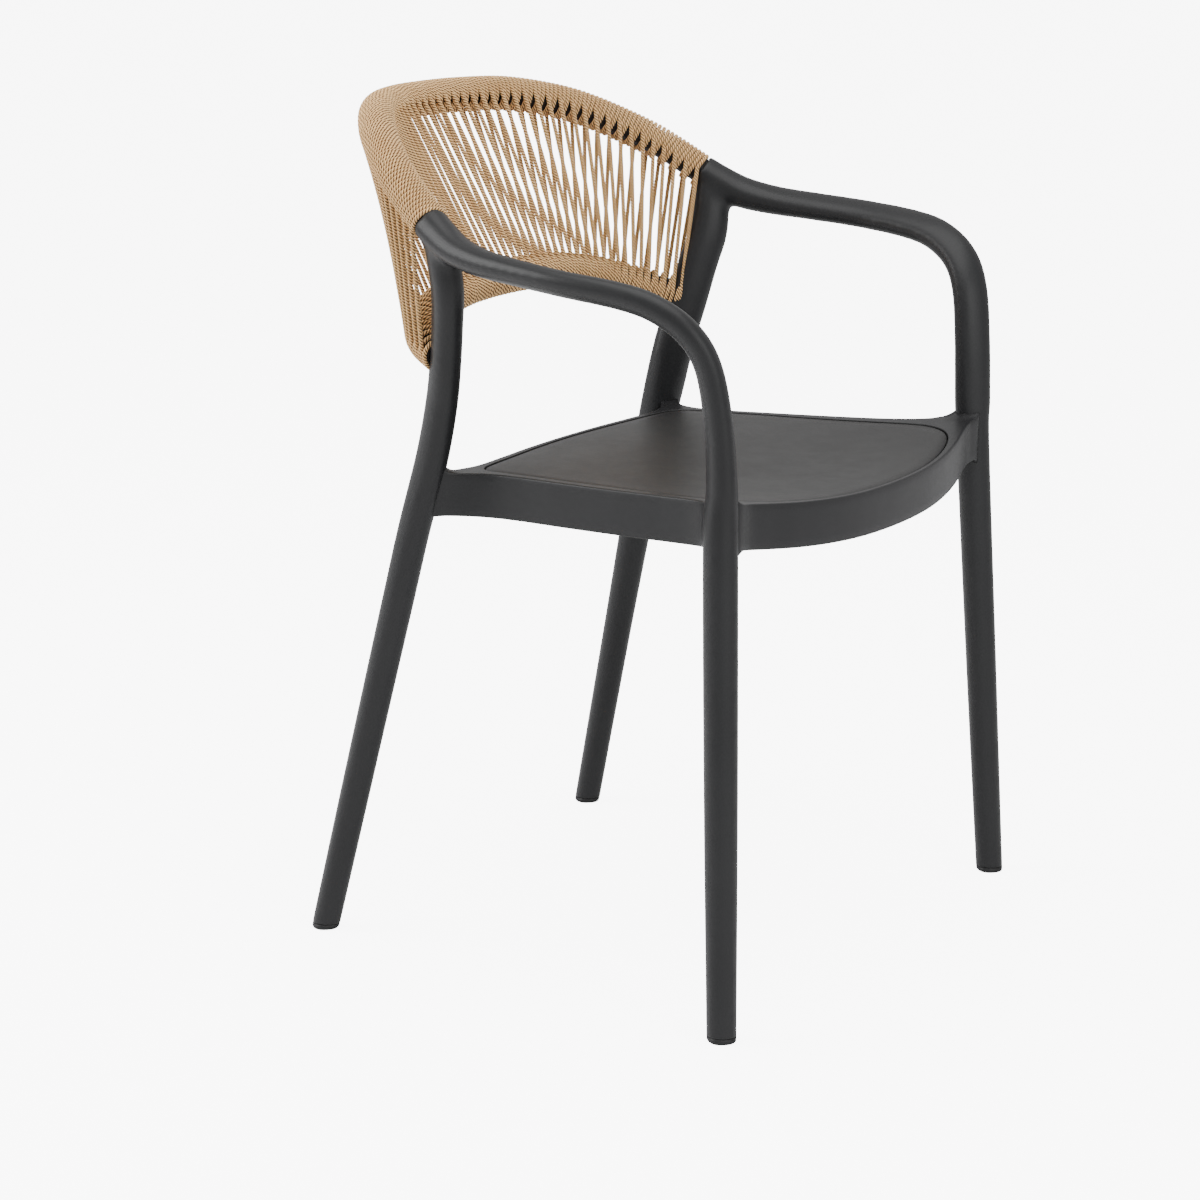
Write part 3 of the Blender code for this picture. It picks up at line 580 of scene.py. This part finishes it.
def round_rail(line, share, angle):
    """A point on the rope's path round a rail: share along it, angle 0 at the front."""
    along = unit(np.gradient(line, axis=0))
    front = unit(np.cross(along, fall))
    down = np.cross(front, along)
    down = down * np.sign((down * fall).sum(1, keepdims=True))
    at = share * (len(line) - 1)

    def pick(values):
        return np.stack([np.interp(at, np.arange(len(line)), values[:, a]) for a in range(3)], -1)

    c, s = np.cos(angle)[..., None], np.sin(angle)[..., None]
    return pick(line) + orbit * (c * unit(pick(front)) - s * unit(pick(down)))


def turns_round(line, start, end, per_course, leave):
    """The rope wound from course position start to end; angle 0 where it is at leave."""
    steps = max(8, int(abs(end - start) * per_course * STEPS_PER_TURN))
    course = np.linspace(start, end, steps)
    return round_rail(line, np.clip(course / COURSES, 0, 1),
                      -(course - leave) * per_course * 2 * math.pi)


route = [turns_round(low_line, -0.5, 0.25, LOW_RATE, 0.5)]
for k in range(COURSES):
    begin = k - 1 / 3 if k else 0.0
    route.append(turns_round(top_line, begin, k + 0.5, TOP_RATE, k + 0.5))
    route.append(turns_round(low_line, k + 0.5, k + 1.25, LOW_RATE, k + 0.5))
route.append(turns_round(top_line, COURSES - 1 / 3, COURSES - 0.03, TOP_RATE, COURSES + 0.5))
route = np.concatenate(route)
run = np.concatenate([[0], np.cumsum(np.linalg.norm(np.diff(route, axis=0), axis=1))])
rope_length = run[-1]
rings_total = int(rope_length / RING_STEP)
marks = np.linspace(0, rope_length, rings_total)
route = np.stack([np.interp(marks, run, route[:, a]) for a in range(3)], 1)
print(f"rope length {rope_length:.2f} m")

# each strand of the rope: the dip between two strands, then its rounded back
STRAND_SHAPE = [(0, 0.60), (36, 1.0), (84, 1.0)]
STRANDS = 3
section = [(math.radians(360 / STRANDS * n + a), ROPE_RADIUS * r)
           for n in range(STRANDS) for a, r in STRAND_SHAPE]
lay_profile = bpy.data.curves.new("rope_section", "CURVE")
lay_profile.dimensions = "2D"
spline = lay_profile.splines.new("POLY")
spline.points.add(len(section) - 1)
spline.use_cyclic_u = True
for point, (a, r) in zip(spline.points, section):
    point.co = (r * math.cos(a), r * math.sin(a), 0, 1)
profile_object = bpy.data.objects.new("rope_section", lay_profile)
bpy.context.scene.collection.objects.link(profile_object)


def rope_finish():
    """Tan synthetic fibre: painted shade between the strands, fine hairs, slow changes of tone."""
    finish = Finish("twisted_rope")
    crown = finish.node("ShaderNodeAttribute", {"attribute_name": "crown"}, output=2)
    uv = finish.node("ShaderNodeUVMap", {"uv_map": "rope_uv"})
    place = finish.node("ShaderNodeTexCoord", output=3)
    hairs = finish.node("ShaderNodeTexNoise", values={
        "Vector": finish.node("ShaderNodeVectorMath", {"operation": "MULTIPLY"},
                              {0: uv, 1: (260.0, 14.0, 1.0)}),
        "Scale": 1.0, "Detail": 3.0, "Roughness": 0.65})
    patches = finish.node("ShaderNodeTexNoise", values={
        "Vector": place, "Scale": 55.0, "Detail": 3.0, "Roughness": 0.6})
    # painted shade: the ramp darkens the dips between the strands to near black and runs up to the
    # rope's own tan on the strands' crowns
    strand_tone_with_painted_shade = finish.node("ShaderNodeValToRGB", {"stops": [
        (0.0, (0.022, 0.009, 0.003)), (0.45, (0.105, 0.050, 0.019)),
        (0.78, (0.560, 0.310, 0.122)), (1.0, (0.990, 0.650, 0.305))]},
        {"Fac": crown * 0.88 + (hairs - 0.5) * 0.44 + 0.06})
    tint = finish.node("ShaderNodeValToRGB", {"stops": [
        (0.3, (0.88, 0.83, 0.77)), (0.7, (1.0, 1.0, 1.0))]}, {"Fac": patches})
    color = finish.node("ShaderNodeMix", {"data_type": "RGBA", "blend_type": "MULTIPLY"},
                        {0: 1.0, 6: strand_tone_with_painted_shade, 7: tint}, output=2)
    ripple = finish.node("ShaderNodeBump", values={
        "Strength": 0.6, "Distance": 0.00025, "Height": hairs})
    return finish.set(Base_Color=color, Roughness=0.78 + (hairs - 0.5) * 0.2, Normal=ripple,
                      Specular_IOR_Level=0.25, Sheen_Weight=0.25, Sheen_Roughness=0.5,
                      Sheen_Tint=(1.0, 0.86, 0.66, 1.0))


twisted_rope = rope_finish()
bounds_at = np.linspace(0, rings_total - 1, ROPE_LENGTHS + 1).astype(int)
for number, (a, b) in enumerate(zip(bounds_at, bounds_at[1:])):
    part = route[a:b + 1]
    curve = bpy.data.curves.new(f"rope_{number}", "CURVE")
    curve.dimensions, curve.twist_mode = "3D", "MINIMUM"
    curve.bevel_mode, curve.bevel_object, curve.use_fill_caps = "OBJECT", profile_object, True
    spline = curve.splines.new("POLY")
    spline.points.add(len(part) - 1)
    spline.points.foreach_set("co", np.concatenate(
        [part, np.ones((len(part), 1))], 1).astype(np.float32).ravel())
    twist = -2 * math.pi * RING_STEP / ROPE_LAY * np.arange(len(part))
    spline.points.foreach_set("tilt", twist.astype(np.float32))
    laid = bpy.data.objects.new(f"rope_{number}", curve)
    bpy.context.scene.collection.objects.link(laid)
    mesh = evaluated_mesh(laid)
    mesh.name = f"rope_length_{number + 1}"
    index = np.arange(len(mesh.vertices))
    # crown is 0 on the dips between the strands, where the rope's colour carries painted shade, and
    # 1 on the strands' rounded backs
    dip = index % len(STRAND_SHAPE) == 0
    crown = mesh.attributes.new("crown", "FLOAT", "POINT")
    crown.data.foreach_set("value", np.where(dip, 0.0, 1.0).astype(np.float32))
    around = (index % len(section)) / len(section)
    along = (index // len(section)) * RING_STEP
    corner = np.empty(len(mesh.loops), int)
    mesh.loops.foreach_get("vertex_index", corner)
    uv_map = mesh.uv_layers.new(name="rope_uv")
    uv_map.data.foreach_set("uv", np.stack([around[corner], along[corner] * 10], 1)
                            .astype(np.float32).ravel())
    mesh.shade_smooth()
    mesh.materials.clear()
    mesh.materials.append(twisted_rope)
    piece = bpy.data.objects.new(mesh.name, mesh)
    bpy.context.scene.collection.objects.link(piece)
    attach(piece, "root")
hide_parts("rope_binding")
bpy.data.objects.remove(profile_object)

# ---- floor, light and camera --------------------------------------------------------------
# A plain white studio floor, brightened a little for the eye only, soft light from above and from
# both sides, and the camera.
FLOOR_SIZE, FLOOR_GLOW = 14.0, 7.5
SKY_SEEN, SKY_LIGHT = 14.0, 0.80
LENS, SENSOR = 98.9, 36.0
CAMERA_AT, CAMERA_AIM = (-2.5865, -1.5213, 1.0686), (0.8285, 0.5011, -0.2498)
CAMERA_ROLL = -1.13
floor_finish = Finish("studio_floor")
seen = floor_finish.node("ShaderNodeLightPath")
floor_finish.set(Base_Color=(0.90, 0.90, 0.905, 1.0), Roughness=0.7, Emission_Color=seen,
                 Emission_Strength=FLOOR_GLOW)
bm = bmesh.new()
bmesh.ops.create_grid(bm, x_segments=1, y_segments=1, size=FLOOR_SIZE)
mesh = bpy.data.meshes.new("studio_floor")
bm.to_mesh(mesh)
bm.free()
mesh.materials.append(floor_finish.material)
floor = bpy.data.objects.new("studio_floor", mesh)
bpy.context.scene.collection.objects.link(floor)

world = bpy.data.worlds.new("studio")
world.use_nodes = True
sky = world.node_tree
lights_up, looks = sky.nodes["Background"], sky.nodes.new("ShaderNodeBackground")
for glow, strength in ((lights_up, SKY_LIGHT), (looks, SKY_SEEN)):
    glow.inputs["Color"].default_value = (1.0, 1.0, 1.0, 1.0)
    glow.inputs["Strength"].default_value = strength
mixed = sky.nodes.new("ShaderNodeMixShader")
sky.links.new(sky.nodes.new("ShaderNodeLightPath").outputs["Is Camera Ray"], mixed.inputs[0])
sky.links.new(lights_up.outputs[0], mixed.inputs[1])
sky.links.new(looks.outputs[0], mixed.inputs[2])
sky.links.new(mixed.outputs[0], sky.nodes["World Output"].inputs["Surface"])
bpy.context.scene.world = world


def soft_light(name, place, aim, size, power):
    light = bpy.data.lights.new(name, "AREA")
    light.shape, light.size, light.size_y, light.energy = "RECTANGLE", size[0], size[1], power
    lamp = bpy.data.objects.new(name, light)
    lamp.location = place
    lamp.rotation_euler = (Vector(aim) - Vector(place)).to_track_quat("-Z", "Y").to_euler()
    bpy.context.scene.collection.objects.link(lamp)


soft_light("overhead", (-0.4, -0.3, 2.6), (0.0, 0.0, 0.4), (2.4, 2.4), 55)
soft_light("left_bank", (-1.6, 2.2, 1.6), (0.0, 0.0, 0.5), (1.6, 1.8), 66)
soft_light("front_bank", (-1.2, -2.8, 1.5), (0.0, 0.0, 0.45), (1.6, 1.8), 30)

view = bpy.data.cameras.new("camera")
view.lens, view.sensor_width = LENS, SENSOR
camera = bpy.data.objects.new("camera", view)
ahead = Vector(CAMERA_AIM).normalized()
right = ahead.cross(Vector((0, 0, 1))).normalized()
right = Matrix.Rotation(math.radians(CAMERA_ROLL), 3, ahead) @ right
above = right.cross(ahead)
turn = Matrix((right, above, -ahead)).transposed().to_4x4()
camera.matrix_world = Matrix.Translation(CAMERA_AT) @ turn
bpy.context.scene.collection.objects.link(camera)
bpy.context.scene.camera = camera
